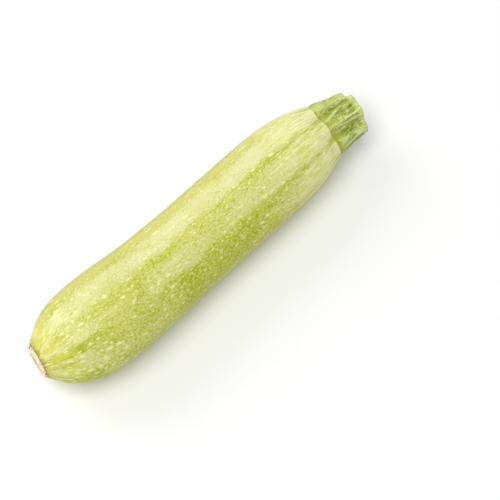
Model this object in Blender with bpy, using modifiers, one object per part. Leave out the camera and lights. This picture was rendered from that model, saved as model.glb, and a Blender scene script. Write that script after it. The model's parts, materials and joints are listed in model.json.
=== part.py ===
"""A pale green zucchini lying on its side, at its real size.

Units are metres and +Z is up. The zucchini lies along X, its blossom end at -X and its cut stem at +X.
It is three pieces: the fruit, the ribbed stem it was cut by, and the corky scar that the blossom left.

Each piece is first turned round an upright axis. Its rings are then pressed into ribs and carried onto the
zucchini's own centre line, which bends a little. On a turned piece, Z is the distance along that line from
the blossom end, and the roll angle runs from straight up towards -Y once the piece is laid down.
"""

import math
from bisect import bisect_right

import bmesh
import bpy
from mathutils import Vector, noise

MM = 0.001

# The fruit's round radius at distances along it, in millimetres: (distance, radius).
FRUIT_RADII = (
    (0.0, 9.2), (2.5, 11.9), (6.0, 15.6), (12.0, 19.7), (20.0, 22.6), (38.0, 24.1),
    (62.0, 22.9), (92.0, 22.0), (138.0, 21.9), (157.0, 21.2), (168.0, 19.4), (174.0, 17.5), (178.0, 15.7),
)
FRUIT_LENGTH = 178.0 * MM
# How far the centre line stands off towards +Y, in millimetres: (distance, offset).
BEND = (
    (-6.0, 1.5), (0.0, 0.6), (10.0, -1.2), (25.0, -3.3), (50.0, -3.8), (85.0, -2.5),
    (125.0, -0.5), (160.0, 1.2), (181.0, 1.0), (203.0, -1.7),
)

# The fruit's faint edges, as roll angles in degrees. The stem's five furrows run on from some of them.
SUTURES = (-5.0, 38.0, 76.0, 118.0, 158.0, 198.0, 241.0, 283.0, 323.0)
FURROW_SUTURES = (-5.0, 38.0, 118.0, 198.0, 283.0)
FACETING = 0.30             # 0 is a round fruit and 1 a nine-sided one
SUTURE_HALF_WIDTH = 6.5     # degrees
SHOULDER_GROOVE = 0.9 * MM  # depth of a suture where it meets the stem
SHOULDER_REACH = 16.0 * MM
PLEAT = 0.6 * MM            # depth of a suture where it meets the scar
PLEAT_REACH = 9.0 * MM
SWELLING = 0.22 * MM        # uneven growth, as slow bumps
SWELLING_SIZE = 30.0 * MM
GROUND_PRESS = 0.45 * MM    # how deep the fruit is pressed flat where it lies
LYING_FROM = 38.0 * MM      # between these distances the underside is straight, and beyond them it rises
LYING_TO = 138.0 * MM

SCAR_SEAT_RADIUS = 8.4 * MM
SCAR_SEAT_DEPTH = 1.0 * MM
FRUIT_STEPS = 72
FRUIT_RINGS = 50

# The stem's radius at distances along the zucchini, in millimetres.
STEM_RADII = ((178.3, 15.3), (181.0, 15.4), (184.5, 15.1), (189.0, 14.0), (193.5, 13.3), (198.1, 12.8))
STEM_START = 178.3 * MM
STEM_END = 198.8 * MM
CUT_FURROWS = (-43.0, 53.0, 120.0, 188.0, 254.0)  # roll angles of the same furrows at the cut
RIB_ENDS = (0.7, 0.6, -0.5, -1.0, -0.9)           # how far each rib outreaches the cut, in millimetres
RIB_END_BLEND = 14.0        # degrees over which one rib's end passes into the next
FURROW_DEPTH = 0.24         # share of the stem's radius
FURROW_HALF_WIDTH = 15.0    # degrees
CREASE_DEPTH = 0.06         # the shallow crease along the back of each rib, as a share of the radius
CREASE_HALF_WIDTH = 9.0     # degrees
STRIA_COUNT = 30
STRIA_DEPTH = 0.010         # share of the stem's radius
CUT_DISH = 0.9 * MM         # how far the pith has shrunk below the cut's rim
CUT_SLANT = 0.6 * MM        # the knife's slope, from the cut's middle to its rim
CUT_EDGE = 0.7 * MM         # rounding of the cut's rim
SCALLOP = 1.2 * MM          # how far the fruit's shoulders stand up between the sutures, on the stem's foot
STEM_STEPS = 90
STEM_RINGS = 15

SCAR_RADIUS = 9.0 * MM
SCAR_PROUD = 1.5 * MM       # how far the scar stands out of the fruit's end
SCAR_RAGGED = 0.055         # unevenness of its rim, as a share of its radius
SCAR_PIT_RADIUS = 2.6 * MM
SCAR_PIT_DEPTH = 1.1 * MM
SCAR_STEPS = 54

FIT_GAP = 0.3 * MM          # between pieces that touch

COLOURS = {
    "fruit": ((0.60, 0.67, 0.20), 0.42),
    "stem": ((0.30, 0.43, 0.10), 0.62),
    "blossom_scar": ((0.72, 0.52, 0.32), 0.85),
}


def clear_scene():
    """Removes the objects of the startup scene."""
    for old in list(bpy.data.objects):
        bpy.data.objects.remove(old)


def along_curve(stations, distance):
    """The value at this distance, in metres, on a smooth curve through (distance, value) stations in millimetres."""
    at = min(max(distance / MM, stations[0][0]), stations[-1][0])
    places = [station[0] for station in stations]
    i = min(max(bisect_right(places, at) - 1, 0), len(stations) - 2)

    def slope(k):
        before, after = max(k - 1, 0), min(k + 1, len(stations) - 1)
        return (stations[after][1] - stations[before][1]) / (places[after] - places[before])

    (x0, y0), (x1, y1) = stations[i], stations[i + 1]
    span = x1 - x0
    t = (at - x0) / span
    value = (
        (2 * t**3 - 3 * t**2 + 1) * y0
        + (t**3 - 2 * t**2 + t) * span * slope(i)
        + (3 * t**2 - 2 * t**3) * y1
        + (t**3 - t**2) * span * slope(i + 1)
    )
    return value * MM


def degrees_apart(a, b):
    """The smaller angle between two directions, in degrees."""
    return abs((a - b + 180.0) % 360.0 - 180.0)


def groove(roll, lines, half_width):
    """1 at the bottom of the nearest of these grooves and 0 away from them all."""
    nearest = min(degrees_apart(roll, line) for line in lines)
    return math.exp(-((nearest / half_width) ** 2))


def faceted(roll):
    """Share of the round radius at this roll angle, on a rounded polygon with its corners at the sutures."""
    turned = (roll - SUTURES[0]) % 360.0 + SUTURES[0]
    corners = SUTURES + (SUTURES[0] + 360.0,)
    i = min(bisect_right(corners, turned) - 1, len(SUTURES) - 1)
    middle = (corners[i] + corners[i + 1]) / 2
    half = math.radians(corners[i + 1] - corners[i]) / 2
    flat = math.cos(half) / math.cos(math.radians(turned - middle))
    return 1.0 - FACETING + FACETING * flat


UNDERSIDE_ROLL = 180.0
UNDERSIDE_SHARE = faceted(UNDERSIDE_ROLL)


def centre(distance):
    """The centre line's point at a distance from the blossom end. Its height keeps the underside straight."""
    lying = min(max(distance, LYING_FROM), LYING_TO)
    height = along_curve(FRUIT_RADII, lying) * UNDERSIDE_SHARE - GROUND_PRESS
    return Vector((distance, along_curve(BEND, distance), height))


def laid_down(distance, roll, radius):
    """The point at this radius and roll angle round the centre line."""
    step = 1.0 * MM
    forward = (centre(distance + step) - centre(distance - step)).normalized()
    side = Vector((0.0, 0.0, 1.0)).cross(forward).normalized()
    up = forward.cross(side)
    turn = math.radians(roll)
    return centre(distance) + radius * (math.cos(turn) * up - math.sin(turn) * side)


def turned_piece(name, profile, steps):
    """A mesh object turned round Z from a profile of (radius, height) points that run from its top to its foot."""
    line = bpy.data.meshes.new(name + "_profile")
    edges = [(i, i + 1) for i in range(len(profile) - 1)]
    line.from_pydata([(radius, 0.0, height) for radius, height in profile], edges, [])
    blank = bpy.data.objects.new(name + "_blank", line)
    bpy.context.scene.collection.objects.link(blank)
    screw = blank.modifiers.new("Turn", "SCREW")
    screw.steps = screw.render_steps = steps
    screw.use_merge_vertices = True
    screw.merge_threshold = 0.00001
    graph = bpy.context.evaluated_depsgraph_get()
    mesh = bpy.data.meshes.new_from_object(blank.evaluated_get(graph))
    mesh.name = name
    bpy.data.objects.remove(blank)
    bpy.data.meshes.remove(line)
    piece = bpy.data.objects.new(name, mesh)
    return piece


def shape(piece, reshape):
    """Moves each vertex of a turned piece to reshape(distance, roll, radius), a point of the laid-down zucchini."""
    for vertex in piece.data.vertices:
        x, y, distance = vertex.co
        roll = math.degrees(math.atan2(y, x))
        vertex.co = reshape(distance, roll, math.hypot(x, y))


def make_fruit():
    """The fruit: a faintly nine-sided club with a seat for the scar, pressed flat where it lies."""
    rings = [FRUIT_LENGTH * (1 - math.cos(math.pi * i / FRUIT_RINGS)) / 2 for i in range(FRUIT_RINGS + 1)]
    skin = [(along_curve(FRUIT_RADII, distance), distance) for distance in reversed(rings)]
    end_radius = skin[0][0]
    stem_end = [(share * end_radius, FRUIT_LENGTH) for share in (0.0, 0.35, 0.7)]
    scar_seat = [
        (SCAR_SEAT_RADIUS, 0.25 * SCAR_SEAT_DEPTH),
        (0.8 * SCAR_SEAT_RADIUS, SCAR_SEAT_DEPTH),
        (0.4 * SCAR_SEAT_RADIUS, SCAR_SEAT_DEPTH),
        (0.0, SCAR_SEAT_DEPTH),
    ]
    fruit = turned_piece("fruit", stem_end + skin + scar_seat, FRUIT_STEPS)
    seat_edge = 1.02 * SCAR_SEAT_RADIUS

    def reshape(distance, roll, radius):
        on_skin = radius > seat_edge and radius > 0.95 * along_curve(FRUIT_RADII, distance)
        if on_skin:
            near_stem = math.exp(-(((FRUIT_LENGTH - distance) / SHOULDER_REACH) ** 2))
            near_scar = math.exp(-((distance / PLEAT_REACH) ** 2))
            cut = SHOULDER_GROOVE * near_stem * groove(roll, FURROW_SUTURES, SUTURE_HALF_WIDTH)
            cut += PLEAT * near_scar * groove(roll, SUTURES, SUTURE_HALF_WIDTH)
            point = laid_down(distance, roll, radius) / SWELLING_SIZE
            calm = min(1.0, distance / PLEAT_REACH, (FRUIT_LENGTH - distance) / SHOULDER_REACH)
            radius = radius * faceted(roll) - cut + SWELLING * calm * noise.noise(point)
        lift = foot_scallop(distance, roll, radius)
        return laid_down(distance + lift, roll, radius)

    shape(fruit, reshape)
    press_flat(fruit)
    return fruit


def foot_scallop(distance, roll, radius):
    """How far the joint between fruit and stem is pushed towards the stem, between the sutures."""
    share = min(1.0, radius / (14.0 * MM))
    near_joint = max(0.0, 1.0 - (FRUIT_LENGTH - distance) / (4.0 * MM))
    return SCALLOP * near_joint * share**2 * (1.0 - groove(roll, FURROW_SUTURES, 2 * SUTURE_HALF_WIDTH))


def press_flat(piece):
    """Cuts off what would be below the surface that the zucchini lies on, and closes the cut with one flat face."""
    bm = bmesh.new()
    bm.from_mesh(piece.data)
    everything = bm.verts[:] + bm.edges[:] + bm.faces[:]
    cut = bmesh.ops.bisect_plane(
        bm, geom=everything, plane_co=(0, 0, 0), plane_no=(0, 0, -1), clear_outer=True, dist=0.01 * MM
    )
    rim = [item for item in cut["geom_cut"] if isinstance(item, bmesh.types.BMEdge)]
    for edge in rim:
        for vertex in edge.verts:
            vertex.co.z = 0.0
    bmesh.ops.edgenet_fill(bm, edges=rim)
    bmesh.ops.recalc_face_normals(bm, faces=bm.faces)
    bm.to_mesh(piece.data)
    bm.free()


def stem_furrows(distance):
    """The roll angles of the stem's furrows, which run from the fruit's sutures to their places at the cut."""
    share = min(max((distance - STEM_START) / (STEM_END - STEM_START), 0.0), 1.0)
    return [foot + share * (cut - foot) for foot, cut in zip(FURROW_SUTURES, CUT_FURROWS)]


def rib_backs(furrows):
    """The roll angles midway between neighbouring furrows."""
    following = furrows[1:] + [furrows[0] + 360.0]
    return [(a + b) / 2 for a, b in zip(furrows, following)]


def rib_end(roll):
    """How far the rib at this roll angle outreaches the cut."""
    cuts = list(CUT_FURROWS)
    reach = 0.0
    for furrow, back, end in zip(cuts, rib_backs(cuts), RIB_ENDS):
        beyond = degrees_apart(roll, back) - (back - furrow)
        reach += end * MM * min(max(0.5 - beyond / RIB_END_BLEND, 0.0), 1.0)
    return reach


def make_stem():
    """The cut stem: five ribs between deep furrows, finely streaked, with a flat cut whose pith has sunk."""
    side_length = STEM_END - CUT_EDGE - STEM_START
    side = [STEM_START + side_length * i / STEM_RINGS for i in range(STEM_RINGS, -1, -1)]
    rim_radius = along_curve(STEM_RADII, side[0])
    cut_face = [
        (share * rim_radius, STEM_END - CUT_DISH * (1 - share**4)) for share in (0.0, 0.25, 0.5, 0.7, 0.85)
    ]
    cut_face.append((rim_radius - 0.6 * CUT_EDGE, STEM_END - 0.1 * CUT_EDGE))
    flank = [(along_curve(STEM_RADII, distance), distance) for distance in side]
    foot_radius = flank[-1][0]
    foot = [(share * foot_radius, STEM_START) for share in (0.7, 0.35, 0.0)]
    stem = turned_piece("stem", cut_face + flank + foot, STEM_STEPS)

    def reshape(distance, roll, radius):
        up_stem = min(max((distance - STEM_START) / (6.0 * MM), 0.0), 1.0)
        deepening = SHOULDER_GROOVE / foot_radius * (1 - up_stem) + FURROW_DEPTH * up_stem
        furrows = stem_furrows(distance)
        relief = STRIA_DEPTH * math.cos(math.radians(STRIA_COUNT * roll))
        relief -= CREASE_DEPTH * groove(roll, rib_backs(furrows), CREASE_HALF_WIDTH)
        share = faceted(roll) * (1 - up_stem) + up_stem
        out = radius / rim_radius
        radius *= share * (1 - deepening * groove(roll, furrows, FURROW_HALF_WIDTH) + up_stem * relief)
        slant = CUT_SLANT * math.cos(math.radians(roll)) * out + rib_end(roll) * min(out, 1.0) ** 3
        lift = foot_scallop(FRUIT_LENGTH, roll, radius) * (1 - up_stem)
        return laid_down(distance + slant * up_stem + lift, roll, radius)

    shape(stem, reshape)
    return stem


def make_scar():
    """The blossom's scar: a low corky button with a ragged rim and a pit where the flower's style stood."""
    seat_floor = SCAR_SEAT_DEPTH - FIT_GAP
    profile = [
        (0.0, seat_floor),
        (0.4 * SCAR_SEAT_RADIUS, seat_floor),
        (0.8 * SCAR_SEAT_RADIUS - FIT_GAP, seat_floor),
        (SCAR_SEAT_RADIUS - 1.5 * FIT_GAP, 0.25 * SCAR_SEAT_DEPTH - FIT_GAP),
        (SCAR_SEAT_RADIUS, -FIT_GAP),
        (0.98 * SCAR_RADIUS, -FIT_GAP),
        (SCAR_RADIUS, -0.6 * SCAR_PROUD),
        (0.93 * SCAR_RADIUS, -SCAR_PROUD),
        (0.75 * SCAR_RADIUS, -0.8 * SCAR_PROUD),
        (0.5 * SCAR_RADIUS, -0.85 * SCAR_PROUD),
        (1.2 * SCAR_PIT_RADIUS, -SCAR_PROUD),
        (0.7 * SCAR_PIT_RADIUS, SCAR_PIT_DEPTH * 0.5 - SCAR_PROUD),
        (0.0, SCAR_PIT_DEPTH - SCAR_PROUD),
    ]
    scar = turned_piece("blossom_scar", profile, SCAR_STEPS)

    def reshape(distance, roll, radius):
        turn = math.radians(roll)
        outside = min(max((-distance - FIT_GAP) / FIT_GAP, 0.0), 1.0)
        uneven = math.cos(5 * turn + 0.6) + 0.6 * math.cos(8 * turn + 2.0) + 0.4 * math.cos(13 * turn)
        share = radius / SCAR_RADIUS
        radius *= 1 + SCAR_RAGGED * outside * share * 0.5 * (uneven - 1.2)
        crumple = 0.12 * SCAR_PROUD * outside * share * math.cos(9 * turn + 6 * share)
        return laid_down(distance + crumple, roll, radius)

    shape(scar, reshape)
    return scar


def finish(piece, collection):
    """Shades the piece, gives it its material and places it in the zucchini's collection."""
    collection.objects.link(piece)
    piece.data.shade_smooth()
    piece.data.set_sharp_from_angle(angle=math.radians(50))
    colour, roughness = COLOURS[piece.name]
    material = bpy.data.materials.new(piece.name)
    material.use_nodes = True
    surface = material.node_tree.nodes["Principled BSDF"]
    surface.inputs["Base Color"].default_value = (*colour, 1.0)
    surface.inputs["Roughness"].default_value = roughness
    surface.inputs["Metallic"].default_value = 0.0
    piece.data.materials.append(material)


def centre_on_origin(pieces):
    """Slides the whole zucchini so that the origin is on the floor under the middle of its box."""
    corners = [vertex.co for piece in pieces for vertex in piece.data.vertices]
    low = Vector([min(corner[i] for corner in corners) for i in range(3)])
    high = Vector([max(corner[i] for corner in corners) for i in range(3)])
    shift = Vector((-(low.x + high.x) / 2, -(low.y + high.y) / 2, 0.0))
    for piece in pieces:
        for vertex in piece.data.vertices:
            vertex.co = vertex.co + shift


def main():
    clear_scene()
    collection = bpy.data.collections.new("zucchini")
    bpy.context.scene.collection.children.link(collection)
    pieces = [make_fruit(), make_stem(), make_scar()]
    centre_on_origin(pieces)
    for piece in pieces:
        finish(piece, collection)


main()
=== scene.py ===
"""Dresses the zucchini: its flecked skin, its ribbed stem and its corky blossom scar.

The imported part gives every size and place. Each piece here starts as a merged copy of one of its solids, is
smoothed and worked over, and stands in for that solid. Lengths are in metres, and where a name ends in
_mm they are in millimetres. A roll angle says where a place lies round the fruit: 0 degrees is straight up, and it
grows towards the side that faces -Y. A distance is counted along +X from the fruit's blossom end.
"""
import json
import logging
import math
from contextlib import contextmanager
from dataclasses import dataclass, field
from enum import Enum
from typing import Callable, Iterator, Sequence

import bpy
import numpy as np
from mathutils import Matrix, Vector, noise

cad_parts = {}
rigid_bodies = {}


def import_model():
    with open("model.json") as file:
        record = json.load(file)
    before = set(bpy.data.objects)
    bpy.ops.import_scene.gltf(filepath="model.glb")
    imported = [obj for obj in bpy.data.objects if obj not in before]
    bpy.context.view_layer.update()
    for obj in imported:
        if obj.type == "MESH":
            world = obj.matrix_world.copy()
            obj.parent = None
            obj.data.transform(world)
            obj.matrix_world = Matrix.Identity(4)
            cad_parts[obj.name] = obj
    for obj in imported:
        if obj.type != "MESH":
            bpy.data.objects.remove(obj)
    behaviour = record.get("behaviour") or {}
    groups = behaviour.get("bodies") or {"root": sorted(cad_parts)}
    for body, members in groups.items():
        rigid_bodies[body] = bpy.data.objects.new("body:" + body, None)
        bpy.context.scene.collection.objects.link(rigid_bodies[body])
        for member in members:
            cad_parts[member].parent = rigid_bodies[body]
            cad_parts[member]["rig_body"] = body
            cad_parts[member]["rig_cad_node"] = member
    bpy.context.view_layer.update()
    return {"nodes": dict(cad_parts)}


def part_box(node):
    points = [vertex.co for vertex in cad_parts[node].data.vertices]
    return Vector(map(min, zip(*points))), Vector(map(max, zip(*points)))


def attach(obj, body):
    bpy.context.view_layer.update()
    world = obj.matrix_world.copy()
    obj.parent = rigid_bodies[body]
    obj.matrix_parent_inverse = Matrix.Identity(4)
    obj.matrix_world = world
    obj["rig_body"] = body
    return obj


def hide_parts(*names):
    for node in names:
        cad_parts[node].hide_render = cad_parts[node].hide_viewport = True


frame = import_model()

LOG = logging.getLogger("zucchini")

Colour = tuple[float, float, float]
Steps = tuple[float, float, float]
Fade = tuple[float, ...]
Socket = bpy.types.NodeSocket
Stops = Sequence[tuple[float, float]]

MM = 0.001
PATTERN_RADIUS_MM = 24.0
OCTAVE_SHIFT = 17.3
OCTAVE_SHARE = 0.55


class Attribute(Enum):
    """The measures that a piece carries on its points for its finish to read."""

    GROWN = "grown"
    RIDGE = "ridge"
    CREST = "crest"
    AWAY = "away"
    DRAWN = "drawn"
    REMAINS = "remains"
    CUT = "cut"
    REACH = "reach"
    SEAT = "seat"


# ---------------------------------------------------------------------------------------------- hand tools


class Bench:
    """The hand tools that every piece is made with."""

    merge_distance = 0.000002
    quad_angle = math.radians(50)

    @staticmethod
    def clear() -> None:
        """Leaves edit mode and deselects everything."""
        if bpy.context.object is not None and bpy.context.object.mode != "OBJECT":
            bpy.ops.object.mode_set(mode="OBJECT")
        bpy.ops.object.select_all(action="DESELECT")

    @staticmethod
    def take(piece: bpy.types.Object) -> None:
        """Makes one piece the only selected and the active one.

        Args:
            piece: the object to take in hand.
        """
        Bench.clear()
        piece.select_set(True)
        bpy.context.view_layer.objects.active = piece

    @staticmethod
    @contextmanager
    def editing(piece: bpy.types.Object, kind: str = "FACE") -> Iterator[None]:
        """Opens a piece in edit mode with nothing selected, and closes it afterwards.

        Args:
            piece: the object to edit.
            kind: what is selected there, VERT, EDGE or FACE.
        """
        Bench.take(piece)
        bpy.ops.object.mode_set(mode="EDIT")
        bpy.ops.mesh.select_mode(type=kind)
        bpy.ops.mesh.select_all(action="DESELECT")
        yield
        bpy.ops.object.mode_set(mode="OBJECT")

    @staticmethod
    def pick_faces(piece: bpy.types.Object, wanted: Callable[[bpy.types.MeshPolygon], bool]) -> int:
        """Selects faces by their place or normal. It is called in edit mode.

        Args:
            piece: the object that is open in edit mode.
            wanted: says of a face whether it is selected.

        Returns:
            How many faces are selected.
        """
        bpy.ops.object.mode_set(mode="OBJECT")
        picked = 0
        for face in piece.data.polygons:
            face.select = wanted(face)
            picked += face.select
        bpy.ops.object.mode_set(mode="EDIT")
        return picked

    @staticmethod
    def crease_rim(sharpness: float) -> None:
        """Keeps the rim of the selected faces from being rounded off. It is called in edit mode.

        Args:
            sharpness: 0 rounds it off wholly and 1 keeps it sharp.
        """
        bpy.ops.mesh.region_to_loop()
        bpy.ops.transform.edge_crease(value=sharpness)
        bpy.ops.mesh.select_mode(type="FACE")
        bpy.ops.mesh.select_all(action="DESELECT")

    @staticmethod
    def merged_copy(node: str, name: str) -> bpy.types.Object:
        """A copy of one of the part's solids with its loose triangles joined up into four-sided faces.

        Args:
            node: the name of the solid.
            name: the name of the new piece.

        Returns:
            The new piece, at the origin and carried by nothing yet.
        """
        Bench.take(frame["nodes"][node])
        bpy.ops.object.duplicate()
        piece = bpy.context.object
        piece.parent = None
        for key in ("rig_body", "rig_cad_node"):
            if key in piece:
                del piece[key]
        piece.name = name
        piece.data.name = name
        piece.data.materials.clear()
        Bench.take(piece)
        bpy.ops.mesh.customdata_custom_splitnormals_clear()
        with Bench.editing(piece):
            bpy.ops.mesh.select_all(action="SELECT")
            bpy.ops.mesh.remove_doubles(threshold=Bench.merge_distance)
            bpy.ops.mesh.tris_convert_to_quads(face_threshold=Bench.quad_angle, shape_threshold=Bench.quad_angle)
        return piece

    @staticmethod
    def subdivide(piece: bpy.types.Object, levels: int) -> None:
        """Rounds a piece with a subdivision surface and applies it.

        Args:
            piece: the object to round.
            levels: how many times each face is quartered.
        """
        Bench.take(piece)
        rounding = piece.modifiers.new("rounding", "SUBSURF")
        rounding.levels = rounding.render_levels = levels
        bpy.ops.object.modifier_apply(modifier=rounding.name)

    @staticmethod
    def points(piece: bpy.types.Object) -> np.ndarray:
        """The places of a piece's points, one row each."""
        out = np.empty(len(piece.data.vertices) * 3)
        piece.data.vertices.foreach_get("co", out)
        return out.reshape(-1, 3)

    @staticmethod
    def normals(piece: bpy.types.Object) -> np.ndarray:
        """The directions in which the skin faces at a piece's points, one row each."""
        out = np.empty(len(piece.data.vertices) * 3, np.float32)
        piece.data.vertex_normals.foreach_get("vector", out)
        return out.reshape(-1, 3).astype(float)

    @staticmethod
    def move(piece: bpy.types.Object, places: np.ndarray) -> None:
        """Puts a piece's points at new places, given one row for each."""
        piece.data.vertices.foreach_set("co", places.astype(np.float32).ravel())
        piece.data.update()

    @staticmethod
    def write(piece: bpy.types.Object, attribute: Attribute, values: np.ndarray) -> None:
        """Writes a measure on a piece's points.

        Args:
            piece: the object.
            attribute: which measure it is.
            values: one number or one row of three for each point.
        """
        kind, key = ("FLOAT", "value") if values.ndim == 1 else ("FLOAT_VECTOR", "vector")
        made = piece.data.attributes.new(attribute.value, kind, "POINT")
        made.data.foreach_set(key, values.astype(np.float32).ravel())

    @staticmethod
    def finish(piece: bpy.types.Object, node: str, material: bpy.types.Material) -> None:
        """Smooths a piece, paints it and sets it in place of its solid.

        Args:
            piece: the finished object.
            node: the solid that it stands for, which is also the name of its material slot.
            material: its finish.
        """
        Bench.take(piece)
        bpy.ops.object.shade_smooth()
        piece.data.materials.clear()
        piece.data.materials.append(material)
        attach(piece, "root")
        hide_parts(node)
        Bench.clear()


def smooth(value: np.ndarray, start: float, end: float) -> np.ndarray:
    """A soft step from 0 at the start to 1 at the end, which may lie below the start."""
    t = np.clip((value - start) / (end - start), 0.0, 1.0)
    return t * t * (3.0 - 2.0 * t)


def turbulence(places: np.ndarray, octaves: int = 1, seed: float = 0.0) -> np.ndarray:
    """Soft irregular bumps.

    Args:
        places: one row for each point, in steps of about one bump.
        octaves: how many finer layers are added up.
        seed: a shift that gives another pattern.

    Returns:
        A number from about -1 to 1 for each point.
    """
    out = np.zeros(len(places))
    for octave in range(octaves):
        for i, place in enumerate(places * 2.0**octave + seed + OCTAVE_SHIFT * octave):
            out[i] += noise.noise(place) * OCTAVE_SHARE**octave
    return out


@dataclass
class CentreLine:
    """The middle of a long solid, read slice by slice along X."""

    node: str
    slice_mm: float = 4.0
    slice_share: float = 0.75
    stations: np.ndarray = field(init=False)
    middles: np.ndarray = field(init=False)

    def __post_init__(self) -> None:
        """Reads the slices from the part's solid."""
        co = Bench.points(frame["nodes"][self.node])
        low, high = co[:, 0].min(), co[:, 0].max()
        count = max(2, round((high - low) / (self.slice_mm * MM)))
        self.stations = np.linspace(low, high, count + 1)
        middles = []
        for x in self.stations:
            cut = co[np.abs(co[:, 0] - x) < self.slice_share * (high - low) / count]
            half = (cut[:, 1].max() - cut[:, 1].min()) / 2
            middles.append(((cut[:, 1].max() + cut[:, 1].min()) / 2, cut[:, 2].max() - half))
        self.middles = np.array(middles)
        self.middles[1:-1] = (self.middles[:-2] + 2 * self.middles[1:-1] + self.middles[2:]) / 4

    def polar(self, places: np.ndarray) -> tuple[np.ndarray, np.ndarray]:
        """Where places lie round the middle.

        Args:
            places: one row each.

        Returns:
            The roll angle in radians and the distance from the middle in metres.
        """
        side = places[:, 1] - np.interp(places[:, 0], self.stations, self.middles[:, 0])
        rise = places[:, 2] - np.interp(places[:, 0], self.stations, self.middles[:, 1])
        return np.arctan2(-side, rise), np.hypot(side, rise)


# ---------------------------------------------------------------------------------------------- finishes


@dataclass(frozen=True)
class Layer:
    """Soft irregular bumps: the length of one each way, a shift, and how fine and how rough they are."""

    steps: Steps
    shift: float = 0.0
    detail: float = 2.0
    roughness: float = 0.5


@dataclass(frozen=True)
class Mask:
    """A layer that is cut off softly: where the cut starts and ends, and what it gives before and after."""

    layer: Layer
    start: float
    end: float
    low: float = 0.0
    high: float = 1.0


@dataclass(frozen=True)
class Scatter:
    """Soft spots, at most one to a cell, of all sizes up to the largest.

    It has the size of a cell, a shift, the share of cells without a spot, the largest spot's radius in cells, and
    how much of a spot is at full strength.
    """

    steps: Steps
    shift: float
    rarity: float
    radius: float
    core: float = 0.25


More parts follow.
